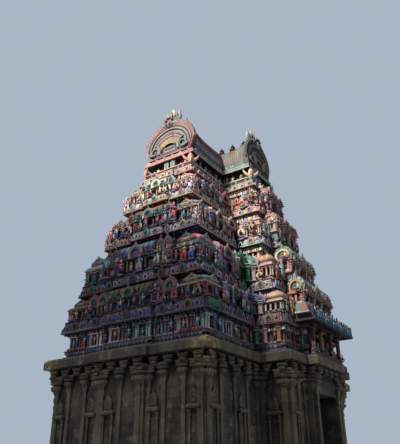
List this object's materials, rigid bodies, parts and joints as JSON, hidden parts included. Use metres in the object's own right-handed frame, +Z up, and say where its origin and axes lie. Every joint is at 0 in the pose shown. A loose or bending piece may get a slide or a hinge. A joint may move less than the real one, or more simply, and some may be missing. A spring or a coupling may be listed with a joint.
{
  "type": "temple gateway tower",
  "caption": "Stepped temple gateway tower: granite base with a through passage, hollow brick storeys ringed with small pavilions, and a cross-shaped barrel roof with horseshoe gables.",
  "frame": {"origin": "on the ground at the centre of the plan", "axes": "+Z up; the passage runs along Y, with the front towards -Y; the long sides run along X"},
  "size_m": [22.84, 19.6, 29.27],
  "materials": {
    "granite": "rough weathered granite blocks, dark and water stained",
    "painted_wall": "lime stucco painted in many weathered colours",
    "painted_cornice": "lime stucco in faded blue, green and red bands",
    "painted_pavilion": "lime stucco painted in many weathered colours",
    "painted_portal": "lime stucco painted in many weathered colours",
    "painted_vault": "ribbed painted stucco, purple and pale mint",
    "painted_gable": "pink and cream painted stucco relief",
    "finial_copper": "dark aged copper"
  },
  "bodies": {
    "root": {"plinth_left": "granite", "plinth_right": "granite", "stone_wall_left": "granite", "stone_wall_right": "granite", "passage_wall_left": "granite", "passage_wall_right": "granite", "gate_lintel_front": "granite", "gate_lintel_back": "granite", "stone_cornice": "granite", "storey_1_walls": "painted_wall", "storey_2_walls": "painted_wall", "storey_3_walls": "painted_wall", "storey_4_walls": "painted_wall", "storey_5_walls": "painted_wall", "neck_walls": "painted_wall", "top_parapet": "painted_wall", "cornice_1": "painted_cornice", "cornice_2": "painted_cornice", "cornice_3": "painted_cornice", "cornice_4": "painted_cornice", "cornice_5": "painted_cornice", "roof_eave": "painted_cornice", "porch_canopy_front": "painted_cornice", "porch_canopy_back": "painted_cornice", "pavilions_1_left": "painted_pavilion", "pavilions_1_right": "painted_pavilion", "pavilions_2_left": "painted_pavilion", "pavilions_2_right": "painted_pavilion", "pavilions_3_left": "painted_pavilion", "pavilions_3_right": "painted_pavilion", "pavilions_4_left": "painted_pavilion", "pavilions_4_right": "painted_pavilion", "portal_2_front": "painted_portal", "portal_2_back": "painted_portal", "portal_3_front": "painted_portal", "portal_3_back": "painted_portal", "portal_4_front": "painted_portal", "portal_4_back": "painted_portal", "portal_5_front": "painted_portal", "portal_5_back": "painted_portal", "porch_columns_front": "painted_portal", "porch_columns_back": "painted_portal", "roof_vault": "painted_vault", "gable_left": "painted_gable", "gable_right": "painted_gable", "gable_front": "painted_gable", "gable_back": "painted_gable", "ridge_finials": "finial_copper"}
  },
  "joints": []
}
